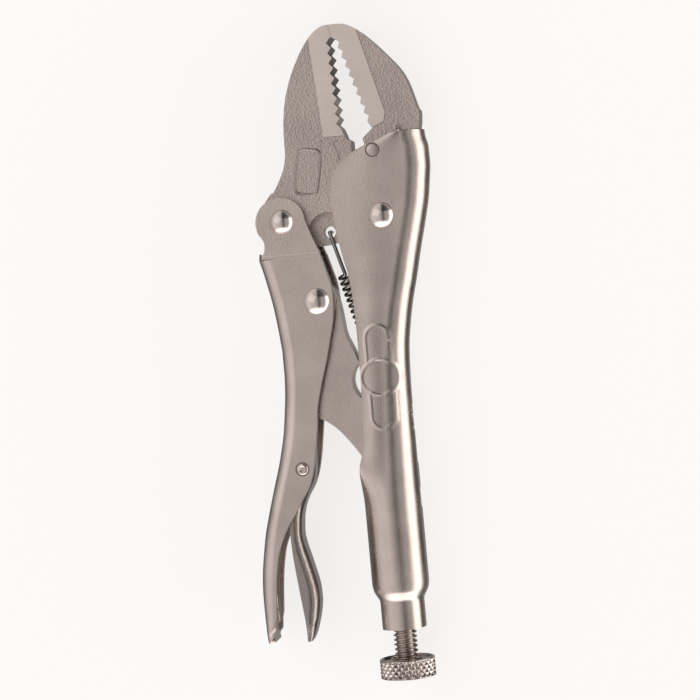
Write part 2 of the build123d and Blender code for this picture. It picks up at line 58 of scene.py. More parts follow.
# ---------------------------------------------------------------------------------------------
# Bench, light and camera. The pliers lie on their side on a plain pale bench. The light is soft
# and grey overhead with a narrow dark gap beside it, strong low on the handle's side and weaker
# on the lever's.
# ---------------------------------------------------------------------------------------------
PIVOT_ACROSS = 4.4  # from the screw's axis to the main pivot


def spot(x, y, z=0.0):
    """A point in metres from millimetres off the screw's axis, the main pivot and the middle plane."""
    across = (x - PIVOT_ACROSS) / 1000
    return Vector((main_pivot.x + across, main_pivot.y + y / 1000, main_pivot.z + z / 1000))


bench = bpy.data.objects.new("bench", bpy.data.meshes.new("bench"))
bench.data.from_pydata([(-3, -3, 0), (3, -3, 0), (3, 3, 0), (-3, 3, 0)], [], [(0, 1, 2, 3)])
bpy.context.collection.objects.link(bench)
bench_paint = bpy.data.materials.new("bench_paint")
bench_paint.use_nodes = True
paint = bench_paint.node_tree.nodes["Principled BSDF"]
paint.inputs["Base Color"].default_value = (0.25, 0.246, 0.242, 1)
paint.inputs["Roughness"].default_value = 0.9
paint.inputs["Specular IOR Level"].default_value = 0.1
paint.inputs["Emission Color"].default_value = (1.0, 0.985, 0.97, 1)
paint.inputs["Emission Strength"].default_value = 0.79
bench.data.materials.append(bench_paint)
# the bright metal mirrors the soft light alone, not the bench
bench.visible_glossy = False

studio = bpy.data.worlds.new("studio")
bpy.context.scene.world = studio
studio.use_nodes = True
sky = studio.node_tree
sky.nodes.clear()
sky_out = sky.nodes.new("ShaderNodeOutputWorld")
sky_light = sky.nodes.new("ShaderNodeBackground")
sky.links.new(sky_light.outputs[0], sky_out.inputs[0])
direction = sky.nodes.new("ShaderNodeTexCoord")
parts_of = sky.nodes.new("ShaderNodeSeparateXYZ")
sky.links.new(direction.outputs["Generated"], parts_of.inputs[0])


def sky_math(kind, a, b=None, clamp=False):
    node = sky.nodes.new("ShaderNodeMath")
    node.operation = kind
    node.use_clamp = clamp
    for slot, value in ((0, a), (1, b)):
        if value is None:
            continue
        if isinstance(value, (int, float)):
            node.inputs[slot].default_value = value
        else:
            sky.links.new(value, node.inputs[slot])
    return node.outputs[0]


def sky_step(value, low, high):
    node = sky.nodes.new("ShaderNodeMapRange")
    node.interpolation_type = "SMOOTHSTEP"
    sky.links.new(value, node.inputs["Value"])
    node.inputs["From Min"].default_value = low
    node.inputs["From Max"].default_value = high
    return node.outputs[0]


lean = sky_math("ARCTAN2", parts_of.outputs["X"], parts_of.outputs["Z"])
lean_share = sky_math("ADD", sky_math("DIVIDE", lean, 2 * math.pi), 0.5)
all_round = sky.nodes.new("ShaderNodeValToRGB")
sky.links.new(lean_share, all_round.inputs[0])
# degrees from overhead towards the handle's back, and how bright it is there
softness = ((-180, 0.36), (-166, 0.36), (-130, 0.12), (-95, 0.48), (-62, 0.86), (-22, 0.66), (0, 0.52),
            (12, 0.15), (21, 0.20), (34, 0.48), (56, 0.50), (70, 2.1), (98, 2.3), (116, 0.10), (140, 0.12),
            (166, 0.36), (180, 0.36))
ramp = all_round.color_ramp
ramp.interpolation = "EASE"
while len(ramp.elements) < len(softness):
    ramp.elements.new(0.5)
for element, (degrees, bright) in zip(ramp.elements, softness):
    element.position = 0.5 + degrees / 360
    element.color = (bright, bright, bright, 1)
upper_right = sky_math(
    "MULTIPLY", sky_step(parts_of.outputs["Y"], 0.3, 0.5), sky_step(parts_of.outputs["X"], 0.02, 0.16)
)
shade_share = sky_math("SUBTRACT", 1.0, sky_math("MULTIPLY", upper_right, 0.8))
shaded = sky_math("MULTIPLY", all_round.outputs[0], shade_share)
low_end = sky_math("MULTIPLY", sky_step(parts_of.outputs["Y"], -0.62, -0.85), 1.6)
tint = sky.nodes.new("ShaderNodeMix")
tint.data_type = "RGBA"
tint.blend_type = "MULTIPLY"
tint.inputs["Factor"].default_value = 1.0
sky.links.new(sky_math("ADD", shaded, low_end), tint.inputs["A"])
tint.inputs["B"].default_value = (1.0, 0.985, 0.97, 1)
sky.links.new(tint.outputs["Result"], sky_light.inputs[0])
sky_light.inputs[1].default_value = 1.0

lamp = bpy.data.objects.new("softbox", bpy.data.lights.new("softbox", "AREA"))
lamp.data.shape = "RECTANGLE"
lamp.data.size, lamp.data.size_y = 0.9, 0.9
lamp.data.energy = 0.8
lamp.location = (-0.55, 0.35, 0.9)
lamp.rotation_euler = (Vector((0, 0, 0)) - lamp.location).to_track_quat("-Z", "Y").to_euler()
bpy.context.collection.objects.link(lamp)

bpy.context.scene.view_settings.view_transform = "Standard"

camera = bpy.data.objects.new("camera", bpy.data.cameras.new("camera"))
bpy.context.collection.objects.link(camera)
bpy.context.scene.camera = camera
look_at = spot(-7.9, -35.2)
# metres to the pliers, the tilt towards the handle's back, the roll, and the width in view at the pliers
away, tilt, roll, in_view = 0.72, math.radians(7.4), math.radians(5.2), 0.18795
stand = look_at + Vector((math.sin(tilt) * away, 0.022, math.cos(tilt) * away))
gaze = (look_at - stand).normalized()
level = gaze.cross(Vector((0, 1, 0))).normalized()
upright = level.cross(gaze)
view_up = upright * math.cos(roll) + level * math.sin(roll)
view_right = level * math.cos(roll) - upright * math.sin(roll)
camera.matrix_world = Matrix((
    (view_right.x, view_up.x, -gaze.x, stand.x),
    (view_right.y, view_up.y, -gaze.y, stand.y),
    (view_right.z, view_up.z, -gaze.z, stand.z),
    (0, 0, 0, 1),
))
camera.data.lens = camera.data.sensor_width * (look_at - stand).length / in_view
camera.data.clip_start = 0.05

# ---------------------------------------------------------------------------------------------
# Fixed handle. Pressed from 1.9 mm sheet: an open channel that closes to a tube round the screw,
# with a drawn-down neck. Satin nickel plate with a faint orange-peel. A plain raised panel with
# a ring is pressed into each cheek.
# ---------------------------------------------------------------------------------------------


def run_through(points):
    """A smooth value along y through (y, value) pairs, with no overshoot."""
    pts = sorted(points)
    ys = [p[0] for p in pts]
    vs = [p[1] for p in pts]
    steps = [(vs[i + 1] - vs[i]) / (ys[i + 1] - ys[i]) for i in range(len(pts) - 1)]
    slopes = [steps[0]]
    for a, b in zip(steps, steps[1:]):
        slopes.append(0.0 if a * b <= 0 else 2 * a * b / (a + b))
    slopes.append(steps[-1])

    def value(y):
        y = min(max(y, ys[0]), ys[-1])
        i = min(max(bisect.bisect_right(ys, y) - 1, 0), len(ys) - 2)
        h = ys[i + 1] - ys[i]
        t = (y - ys[i]) / h
        return (
            (2 * t ** 3 - 3 * t ** 2 + 1) * vs[i] + (t ** 3 - 2 * t ** 2 + t) * h * slopes[i]
            + (-2 * t ** 3 + 3 * t ** 2) * vs[i + 1] + (t ** 3 - t ** 2) * h * slopes[i + 1]
        )

    return value


def ease(value, low, high):
    t = min(max((value - low) / (high - low), 0.0), 1.0)
    return t * t * (3 - 2 * t)


def levels(*spans):
    """Heights from span to span: (start, end, step) in millimetres."""
    out = []
    for start, end, step in spans:
        count = max(1, round(abs(end - start) / step))
        out += [start + (end - start) * i / count for i in range(count)]
    return out + [spans[-1][1]]


def add_grid(mesh, rows, keep=None, flip=False, loop=False):
    """Quads between rows of points; keep(middle) says which of them stay."""
    verts = [[mesh.verts.new(p) for p in row] for row in rows]
    for upper, lower in zip(verts, verts[1:]):
        for i in range(len(upper) - (0 if loop else 1)):
            k = (i + 1) % len(upper)
            ring = (upper[i], lower[i], lower[k], upper[k])
            if keep is None or keep(sum((v.co for v in ring), Vector()) / 4):
                mesh.faces.new(ring[::-1] if flip else ring)
    loose = [v for v in mesh.verts if not v.link_faces]
    bmesh.ops.delete(mesh, geom=loose, context="VERTS")


def finish_piece(name, mesh, thick=0.0, edge=0.0, material=None, crisp=35, hard=False):
    """Turn the mesh into a piece: give the sheet its thickness, round its edges and shade it."""
    data = bpy.data.meshes.new(name)
    for face in mesh.faces:
        face.smooth = True
    mesh.to_mesh(data)
    mesh.free()
    piece = bpy.data.objects.new(name, data)
    bpy.context.collection.objects.link(piece)
    if thick:
        wall = piece.modifiers.new("thickness", "SOLIDIFY")
        wall.thickness = thick / 1000
        wall.offset = -1.0
        wall.use_quality_normals = True
    if edge:
        rounding = piece.modifiers.new("rounding", "BEVEL")
        rounding.width = edge / 1000
        rounding.segments = 3
        rounding.limit_method = "ANGLE"
        rounding.angle_limit = math.radians(50)
        if hard:
            rounding.limit_method = "WEIGHT"
            flats = piece.modifiers.new("flats", "WEIGHTED_NORMAL")
            flats.weight = 100
            flats.keep_sharp = True
    if piece.modifiers:
        graph = bpy.context.evaluated_depsgraph_get()
        made = bpy.data.meshes.new_from_object(
            piece.evaluated_get(graph), preserve_all_data_layers=True, depsgraph=graph
        )
        piece.modifiers.clear()
        piece.data = made
    if not hard:
        piece.data.polygons.foreach_set("use_smooth", [True] * len(piece.data.polygons))
        piece.data.set_sharp_from_angle(angle=math.radians(crisp))
    piece.data.materials.clear()
    if material:
        piece.data.materials.append(material)
    return piece


def metal(name, colour, rough, grain, bump, grain_depth, tone, stretch=(1, 1, 1)):
    """Bare or plated metal: a mottled tone, uneven gloss, and a grain (size in mm, depth in metres)."""
    made = bpy.data.materials.new(name)
    made.use_nodes = True
    tree = made.node_tree
    shade = tree.nodes["Principled BSDF"]
    shade.inputs["Metallic"].default_value = 1.0
    place = tree.nodes.new("ShaderNodeTexCoord")
    scaled = tree.nodes.new("ShaderNodeMapping")
    scaled.inputs["Scale"].default_value = stretch
    tree.links.new(place.outputs["Object"], scaled.inputs["Vector"])
    fine = tree.nodes.new("ShaderNodeTexNoise")
    fine.inputs["Scale"].default_value = 1000 / grain
    fine.inputs["Detail"].default_value = 3.0
    tree.links.new(scaled.outputs[0], fine.inputs["Vector"])
    broad = tree.nodes.new("ShaderNodeTexNoise")
    broad.inputs["Scale"].default_value = 90
    broad.inputs["Detail"].default_value = 4.0
    tree.links.new(place.outputs["Object"], broad.inputs["Vector"])
    both = tree.nodes.new("ShaderNodeMath")
    both.operation = "MULTIPLY_ADD"
    tree.links.new(fine.outputs["Fac"], both.inputs[0])
    both.inputs[1].default_value = 0.5
    tree.links.new(broad.outputs["Fac"], both.inputs[2])
    hue = tree.nodes.new("ShaderNodeMapRange")
    hue.inputs["From Min"].default_value = 0.45
    hue.inputs["From Max"].default_value = 1.05
    hue.inputs["To Min"].default_value = 1 - tone
    hue.inputs["To Max"].default_value = 1 + tone
    tree.links.new(both.outputs[0], hue.inputs["Value"])
    colours = tree.nodes.new("ShaderNodeMix")
    colours.data_type = "RGBA"
    colours.blend_type = "MULTIPLY"
    colours.inputs["Factor"].default_value = 1.0
    colours.inputs["A"].default_value = (*colour, 1)
    tree.links.new(hue.outputs[0], colours.inputs["B"])
    tree.links.new(colours.outputs["Result"], shade.inputs["Base Color"])
    gloss = tree.nodes.new("ShaderNodeMapRange")
    gloss.inputs["From Min"].default_value = 0.35
    gloss.inputs["From Max"].default_value = 0.65
    gloss.inputs["To Min"].default_value = rough * 0.85
    gloss.inputs["To Max"].default_value = rough * 1.18
    tree.links.new(broad.outputs["Fac"], gloss.inputs["Value"])
    tree.links.new(gloss.outputs[0], shade.inputs["Roughness"])
    relief = tree.nodes.new("ShaderNodeBump")
    relief.inputs["Strength"].default_value = bump
    relief.inputs["Distance"].default_value = grain_depth
    tree.links.new(fine.outputs["Fac"], relief.inputs["Height"])
    tree.links.new(relief.outputs[0], shade.inputs["Normal"])
    return made


sheet_nickel = metal("sheet_nickel", (0.62, 0.53, 0.485), rough=0.25, grain=0.40, bump=0.5,
                     grain_depth=0.00008, tone=0.12)
TUBE, WALL = 7.6, 1.9  # the tube's radius, and the sheet
CHEEK = 6.75  # from the middle plane to a flat cheek's outside
CLOSED_AT, CLOSING_FROM = -78, -64.5  # where the channel is a full tube, and where it begins to close
PANEL_X, PANEL_Y, PANEL_SPAN = 0.4, -42.9, (-58.5, -27.5)  # the raised panel's middle and its rows
WINDOW_FOOT, WINDOW_TOP, WINDOW_HALF = -58, -50.9, 2.2  # in the back, below the spring's anchor
handle_back = run_through(((25, 17.2), (20.5, 17.4), (17, 18.05), (13, 18.1), (8.5, 17.6), (3.5, 16.85),
                           (-2.5, 15.45), (-9.5, 13.65), (-17.5, 11.75), (-23.5, 10.2), (-29.5, 9.0),
                           (-35.5, 8.15), (-41.5, 7.8), (-48, 7.62), (-56, 7.6), (-101, 7.6)))
handle_front = run_through(((21.75, 11.6), (21.6, 9.6), (20.7, 6.9), (19.6, 3.9), (18.8, 1.6), (17.9, -0.6),
                            (16.5, -3.1), (14.3, -5.7), (11.5, -7.5), (8.5, -8.3), (4.5, -8.5), (0.5, -8.2),
                            (-3.5, -7.85), (-10.5, -6.7), (-15.5, -5.65), (-24.5, -4.95), (-31.5, -4.85),
                            (-44.5, -5.0), (-51.5, -5.2), (-59.5, -5.7), (-63, -6.3), (-66, -7.2),
                            (-68.5, -7.6)))
tube_round = run_through(((CLOSED_AT, TUBE), (-98.4, TUBE), (-100.2, 7.35), (-101.6, 6.75), (-102.6, 6.15),
                          (-103.4, 5.9), (-104.5, 5.85), (-110.8, 5.85)))


def panel_rise(x, y):
    """Height of the raised panel, of its border and of the plain ring in its middle."""
    dx, dy = x - PANEL_X, y - PANEL_Y
    along = max(abs(dy) - 10.6, 0.0)
    border = math.hypot(dx, along) - 3.2
    ring = math.hypot(dx * 0.92, dy) - 4.7
    frame_line = border if ring > 0 else 9.0
    line = min(abs(frame_line), abs(ring))
    inside = min(border, ring)
    return 0.22 * math.exp(-((line / 0.33) ** 2)) + 0.10 * (1 - ease(inside, -0.5, 0.1))


def handle_row(y):
    """The sheet's outside at one height, from the far cheek round the back to the near cheek."""
    closing = 1 - ease(y, CLOSED_AT, CLOSING_FROM)
    if y > CLOSED_AT:
        round_in, half = TUBE, CHEEK + (TUBE - CHEEK) * (1 - ease(y, -76, -40))
        right, bend = handle_back(y), 6.0 + (TUBE - 6.0) * (1 - ease(y, CLOSED_AT, -36))
        left = handle_front(y)
    else:
        round_in = half = right = bend = tube_round(y)
        left = -round_in
    dip = 0.16 * (1 - closing)
    half -= dip
    bend = min(bend, half)
    row = []
    for i in range(5):
        row.append(((right, (half - bend) * i / 5), (1, 0)))
    for i in range(17):
        turn = math.pi / 2 * i / 16
        row.append(((right - bend + bend * math.cos(turn), half - bend + bend * math.sin(turn)),
                    (math.cos(turn), math.sin(turn))))
    start = right - bend
    for i in range(1, 65):
        x = start + (left - start) * math.sin(math.pi / 2 * i / 64)
        bow = round_in - math.sqrt(max(round_in ** 2 - min(x, 0.0) ** 2, 0.0)) if closing else 0.0
        middle = (start + left) / 2
        crown = dip / 2 * (1 + math.cos(math.pi * (x - middle) / (start - middle)))
        row.append(((x, half - closing * bow + crown), (0, 1)))
    lifted = []
    for (x, z), (nx, nz) in row:
        rise = panel_rise(x, y) if PANEL_SPAN[0] < y < PANEL_SPAN[1] and nz > 0.2 else 0.0
        lifted.append((x + nx * rise, z + nz * rise))
    far_side = [(x, -z) for x, z in reversed(lifted[1:])]
    return [spot(x, y, z) for x, z in far_side + lifted]


def outside_window(middle):
    """False over the window in the handle's back."""
    middle = (middle - spot(0, 0)) * 1000
    return not (WINDOW_FOOT < middle.y < WINDOW_TOP and abs(middle.z) < WINDOW_HALF and middle.x > 0)


handle_mesh = bmesh.new()
handle_levels = levels((21.75, 20.5, 0.1), (20.5, 14, 0.3), (14, -27, 0.5), (-27, -58.5, 0.28),
                       (-58.5, -98, 0.6), (-98, -104.5, 0.3), (-104.5, -110.4, 0.8), (-110.4, -110.8, 0.4))
add_grid(handle_mesh, [handle_row(y) for y in handle_levels], keep=outside_window, flip=True)
fixed_handle = finish_piece("fixed_handle_sheet", handle_mesh, thick=WALL, edge=0.28, material=sheet_nickel)
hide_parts("fixed_handle")
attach(fixed_handle, "handle")

# the threaded bush in the neck, and the tongue bent inwards from the window to hold the spring
bush_mesh = bmesh.new()
bush_sides = ((3.9, -103.5), (3.26, -103.5), (3.26, -110.3), (3.45, -110.7), (3.9, -110.7))
bush_turns = [math.pi * i / 32 for i in range(64)]
add_grid(bush_mesh, [[spot(r * math.sin(a), y, r * math.cos(a)) for a in bush_turns] for r, y in bush_sides],
         loop=True)
bmesh.ops.recalc_face_normals(bush_mesh, faces=bush_mesh.faces)
bush = finish_piece("neck_bush", bush_mesh, material=sheet_nickel)
tongue_mesh = bmesh.new()
tongue_bend = ((6.9, -51.4), (6.5, -50.7), (5.7, -50.3), (4.4, -50.1), (1.8, -50.0))
add_grid(tongue_mesh, [[spot(x, y, z) for z in (-1.8, 0.0, 1.8)] for x, y in tongue_bend])
tongue = finish_piece("spring_tongue", tongue_mesh, thick=1.2, edge=0.25, material=sheet_nickel)
for inner in (bush, tongue):
    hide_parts("fixed_handle")
    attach(inner, "handle")

# ---------------------------------------------------------------------------------------------
# Lever. Pressed from the same sheet: a channel open towards the handle, with two wide ears over
# the jaw. The cheeks step out a little below the ears, where the channel's back begins.
# ---------------------------------------------------------------------------------------------
EAR_MIDDLE, EAR_RADIUS = (-22.65, 0.3), 6.7
EAR_END, CREASE_AT = -9.3, -9.6  # where the channel's back begins, and where the cheeks have stepped out
TAIL_END, TAIL_SLANT = -112, 1.15
lever_back = run_through(((-9.3, -29.6), (-11.5, -29.0), (-16.5, -27.9), (-21.5, -26.95), (-26.5, -26.3),
                          (-30.5, -25.9), (-34.5, -25.6), (-39.5, -25.6), (-45.5, -25.9), (-50.5, -26.5),
                          (-55.5, -27.2), (-60.5, -28.3), (-65, -29.5), (-69.5, -30.9), (-74.5, -32.4),
                          (-78.5, -33.55), (-82.5, -34.6), (-87.5, -35.55), (-91.5, -36.2), (-95.5, -36.6),
                          (-99.5, -36.75), (-103.5, -36.7), (-107.5, -36.55), (-111, -36.4), (-112, -36.2)))
lever_front = run_through(((2, -16.4), (-1.5, -15.3), (-4.5, -14.3), (-8.5, -12.75), (-13.5, -11.35),
                           (-17, -10.45), (-19.5, -10.2), (-23.5, -10.3), (-27.5, -10.9), (-31.5, -11.95),
                           (-35.5, -12.95), (-40.5, -14.5), (-44.5, -15.7), (-49.5, -17), (-53.5, -17.5),
                           (-57.5, -18.1), (-62.5, -18.9), (-67, -19.9), (-70.5, -21.2), (-74.5, -23.75),
                           (-78.5, -26.3), (-81.5, -28.3), (-84.5, -29.8), (-87.5, -31.0), (-91.5, -31.9),
                           (-95.5, -32.5), (-99.5, -32.9), (-104.5, -33.3), (-109, -33.8), (-112, -33.9)))
ear_left = run_through(((0.3, -29.35), (-2, -28.95), (-3.2, -28.15), (-4, -27.7), (-5, -27.45),
                        (-6.5, -27.55), (-7.5, -27.9), (-8.4, -28.3), (-9.3, -28.7)))


def lever_row(y):
    """The sheet's outside at one height: two flat ears, or the channel's back and its cheeks."""
    step_out = 0.65 * (1 - ease(y, CREASE_AT, -8.3))
    crease = 0.09 * math.exp(-((y + 9.5) / 0.22) ** 2)
    tail_in = 0.7 * (1 - ease(y, -112.2, -109))
    half = CHEEK + step_out + crease - tail_in
    ear_side = math.sqrt(max(EAR_RADIUS ** 2 - (y - EAR_MIDDLE[1]) ** 2, 0.01))
    front = lever_front(y) if y < 1.5 else EAR_MIDDLE[0] + ear_side + (y - 1.5) * 0.02
    if y > EAR_END:
        left = EAR_MIDDLE[0] - ear_side if y > EAR_MIDDLE[1] else ear_left(y)
        start = max(-26.2, left + 0.35 * (front - left))
        row = [(left, half)] * 6 + [(left + (start - left) * i / 14, half) for i in range(15)]
    else:
        back = lever_back(y)
        bend = min(3.4, 0.8 * (front - back))
        start = back + bend
        row = [(back, (half - bend) * i / 6) for i in range(6)]
        for i in range(15):
            turn = math.pi / 2 * i / 14
            row.append((start - bend * math.cos(turn), half - bend + bend * math.sin(turn)))
    row += [(start + (front - start) * i / 40, half) for i in range(1, 41)]
    slant = TAIL_SLANT * (1 - ease(y, TAIL_END, -104))
    row = [(x, y + slant * (x - lever_back(y)), z) for x, z in row]
    return [spot(x, up, -z) for x, up, z in reversed(row[1:])] + [spot(x, up, z) for x, up, z in row]


def lever_sheet(middle):
    """False between the two ears, where the channel has no back yet."""
    middle = middle - spot(0, 0)
    return middle.y < (EAR_END - 0.05) / 1000 or abs(middle.z) > 0.0055


lever_mesh = bmesh.new()
lever_levels = levels((6.98, 6.2, 0.07), (6.2, 2, 0.3), (2, -7, 0.5), (-7, EAR_END + 0.02, 0.2),
                      (EAR_END, -10.4, 0.1), (-10.4, -104, 0.7), (-104, -111, 0.4), (-111, TAIL_END, 0.15))
add_grid(lever_mesh, [lever_row(y) for y in lever_levels], keep=lever_sheet)
bmesh.ops.remove_doubles(lever_mesh, verts=lever_mesh.verts, dist=0.000002)
lever = finish_piece("lever_sheet", lever_mesh, thick=WALL, edge=0.3, material=sheet_nickel)
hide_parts("lever_handle")
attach(lever, "lever")

# ---------------------------------------------------------------------------------------------
# Release lever. A narrower folded channel inside the lever, its back towards the handle. The
# tail is a smooth paddle for the finger, bowed outwards.
# ---------------------------------------------------------------------------------------------
release_back = run_through(((-51, -22.0), (-54, -20.6), (-58, -19.3), (-64.5, -19.6), (-68.5, -20.2),
                            (-72.5, -22.1), (-76.5, -23.9), (-79.5, -24.6), (-83.5, -24.9), (-86.5, -24.4),
                            (-89.5, -23.6), (-92.5, -22.9), (-95.5, -22.2), (-98.5, -21.75), (-101.5, -21.7),
                            (-104.5, -22.1), (-107.5, -22.9), (-110.5, -23.9), (-112.3, -24.8)))
release_edge = run_through(((-51, -22.9), (-54, -24.2), (-58, -24.9), (-65, -25.6), (-75, -27.2),
                            (-83.5, -27.8), (-87.5, -27.7), (-91.5, -27.4), (-95.5, -27.0), (-99.5, -26.6),
                            (-103.5, -26.15), (-107.5, -25.8), (-112.3, -25.85)))


def release_row(y):
    back, edge = release_back(y), release_edge(y)
    half = 5.35 - 1.3 * (1 - ease(y, -112.8, -106))
    bend = min(2.8, 0.75 * (back - edge))
    row = [(back, (half - bend) * i / 5) for i in range(5)]
    for i in range(13):
        turn = math.pi / 2 * i / 12
        row.append((back - bend + bend * math.cos(turn), half - bend + bend * math.sin(turn)))
    row += [(back - bend + (edge - back + bend) * i / 8, half) for i in range(1, 9)]
    return [spot(x, y, -z) for x, z in reversed(row[1:])] + [spot(x, y, z) for x, z in row]


release_mesh = bmesh.new()
add_grid(release_mesh, [release_row(y) for y in levels((-51, -106, 0.7), (-106, -112.3, 0.35))])
bmesh.ops.recalc_face_normals(release_mesh, faces=release_mesh.faces)
sheet_dull = metal("sheet_dull", (0.40, 0.345, 0.32), rough=0.24, grain=0.6, bump=0.6,
                   grain_depth=0.00008, tone=0.12)
release = finish_piece("release_lever_sheet", release_mesh, thick=1.4, edge=0.3, material=sheet_dull)
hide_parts("release_lever")
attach(release, "release")

# ---------------------------------------------------------------------------------------------
# Jaws. Drop forgings with a pebbled skin, ground flat and bright beside the teeth. The moving
# jaw has a blank framed panel, an ear for the lever and a thinned lobe round the spring's hole.
# ---------------------------------------------------------------------------------------------
forged_skin = metal("forged_skin", (0.56, 0.475, 0.435), rough=0.34, grain=0.52, bump=1.0,
                    grain_depth=0.00017, tone=0.14)
ground_face = metal("ground_face", (0.78, 0.68, 0.62), rough=0.34, grain=0.3, bump=0.6,
                    grain_depth=0.00005, tone=0.06, stretch=(0.06, 1, 1))
# painted shade: a dark metal that stands in for the shade on tooth flanks, on the steps round the ground
# flats, and round the small rivet and pin ends
painted_shade = metal("painted_shade", (0.20, 0.17, 0.155), rough=0.42, grain=0.4, bump=0.5,
                   grain_depth=0.00006, tone=0.12)
SKIN, GROUND = 4.7, 5.0  # from the middle plane to a forging's skin, and to the flats beside the teeth
bite_middle = run_through(((17, 1.2), (30, -1.5), (40, -3.4), (50, -5.0)))


def eased_copy(node, name, rounding, material, share=None):
    """A piece with the node's own shape and rounded edges; share(edge) says how much of it an edge gets."""
    mesh = bmesh.new()
    mesh.from_mesh(bpy.data.objects[node].data)
    bmesh.ops.remove_doubles(mesh, verts=mesh.verts, dist=0.000004)
    bmesh.ops.dissolve_limit(mesh, angle_limit=math.radians(1), verts=mesh.verts, edges=mesh.edges)
    weight = mesh.edges.layers.float.new("bevel_weight_edge")
    for edge in mesh.edges:
        if len(edge.link_faces) == 2 and edge.calc_face_angle(0) > math.radians(40):
            edge[weight] = share(edge) if share else 1.0
    return finish_piece(name, mesh, edge=rounding, material=material, hard=True)


def finish_bite(jaw):
    """Give the flats that stand proud beside the teeth their ground finish, and paint shade on the tooth
    flanks and on the steps round the flats.
    """
    jaw.data.materials.append(ground_face)
    jaw.data.materials.append(painted_shade)
    for face in jaw.data.polygons:
        middle = (face.center - spot(0, 0)) * 1000
        upright_wall = abs(face.normal.z) < 0.5
        if abs(abs(middle.z) - GROUND) < 0.06 and abs(face.normal.z) > 0.98:
            face.material_index = 1
        # painted shade on the steps round the raised ground flats
        elif SKIN < abs(middle.z) < GROUND - 0.005 and abs(face.normal.z) < 0.97 and middle.y > 18:
            face.material_index = 2
        # painted shade on the tooth flanks, where shade falls between the teeth
        elif upright_wall and 17.5 < middle.y < 49.5 and abs(middle.x - bite_middle(middle.y)) < 3.2:
            face.material_index = 2


def forging_share(edge):
    """All of the rounding on a forging's outer rim, far less on ground and cut edges."""
    middle = ((edge.verts[0].co + edge.verts[1].co) / 2 - spot(0, 0)) * 1000
    flat, wall = sorted(edge.link_faces, key=lambda face: -abs(face.normal.z))
    rim = abs(flat.normal.z) > 0.98 and abs(wall.normal.z) < 0.15
    on_skin = abs(abs(middle.z) - SKIN) < 0.05
    outside_bite = abs(middle.x - bite_middle(middle.y)) > 7.5 and 6 < middle.y < 47
    if rim and outside_bite and on_skin and edge.is_convex:
        return 1.0
    return 0.26 if rim and on_skin and not edge.is_convex and middle.y > 18 else 0.1


for node, name, body in (
    ("moving_jaw", "moving_jaw_forging", "jaw"),
    ("fixed_jaw", "fixed_jaw_forging", "handle"),
):
    jaw = eased_copy(node, name, 0.8, forged_skin, share=forging_share)
    finish_bite(jaw)
    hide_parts(node)
    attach(jaw, body)

# the raised, rounded frame of the blank panel, on both faces of the moving jaw
frame_mesh = bmesh.new()
panel_turn = Matrix.Rotation(math.radians(-10.5), 3, "Z")
# how far the frame's section reaches out from the panel's core, and how high it stands there
frame_section = ((1.4, -0.04), (1.5, 0.16), (1.65, 0.27), (1.8, 0.29),
                 (1.95, 0.27), (2.1, 0.16), (2.2, -0.04))
for side in (1, -1):
    loops = []
    for i in range(96):
        turn = 2 * math.pi * i / 96
        corner = Vector((math.cos(turn), math.sin(turn), 0))
        square = Vector((max(-1.35, min(1.35, corner.x * 9)), max(-4.2, min(4.2, corner.y * 9)), 0))
        loops.append((square, corner))
    rows = []
    for reach, lift in frame_section:
        middle = Vector((-14.3, 13.2, side * (SKIN + lift)))
        rows.append([spot(*(middle + panel_turn @ (square + corner * reach))) for square, corner in loops])
    add_grid(frame_mesh, rows, loop=True, flip=side > 0)
panel_frame = finish_piece("blank_panel_frame", frame_mesh, material=sheet_dull)
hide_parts("moving_jaw")
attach(panel_frame, "jaw")

# ---------------------------------------------------------------------------------------------
# Toggle link. Folded from the same sheet, round at the end that sits on the screw, held in the
# lever by the middle rivet.
# ---------------------------------------------------------------------------------------------
link = eased_copy("toggle_link", "toggle_link_sheet", 0.3, sheet_nickel)
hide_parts("toggle_link")
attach(link, "link")

# ---------------------------------------------------------------------------------------------
# Rivets. Three solid steel rivets closed to low shiny domes on both sides, a small tubular one
# for the release lever, and a flush cross pin that holds the fixed jaw.
# ---------------------------------------------------------------------------------------------
rivet_bright = metal("rivet_bright", (0.68, 0.60, 0.56), rough=0.16, grain=1.6, bump=0.12,
                     grain_depth=0.00005, tone=0.04)


def turned(mesh, middle, profile, count=64, axis="Z", wave=None):
    """Spin a (radius, height) profile round an axis through the middle point."""
    rows = []
    for radius, height in profile:
        row = []
        for i in range(count):
            turn = 2 * math.pi * i / count
            r = radius + (wave(turn, height, radius) if wave else 0.0)
            if axis == "Z":
                row.append(spot(middle[0] + r * math.cos(turn), middle[1] + r * math.sin(turn), height))
            else:
                row.append(spot(middle[0] + r * math.sin(turn), height, r * math.cos(turn)))
        rows.append(row)
    add_grid(mesh, rows, loop=True)
    bmesh.ops.remove_doubles(mesh, verts=mesh.verts, dist=0.000002)
    bmesh.ops.recalc_face_normals(mesh, faces=mesh.faces)


def node_middle(node):
    """The middle of a node's box, in millimetres."""
    low, high = (Vector(corner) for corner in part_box(node))
    return ((low + high) / 2 - spot(0, 0)) * 1000


def both_ends(half_profile):
    return half_profile + [(r, -h) for r, h in reversed(half_profile)]


def dome_side(head, rise, start):
    """Half profile of a domed head: from the crown out to the rim, then down into the cheek."""
    ball = (head ** 2 + rise ** 2) / (2 * rise)
    crown = [(0.001, start + rise)]
    for i in range(1, 15):
        r = head * i / 14
        crown.append((r, start + rise - ball + math.sqrt(ball ** 2 - r ** 2)))
    return crown + [(head + 0.02, start - 0.12)]


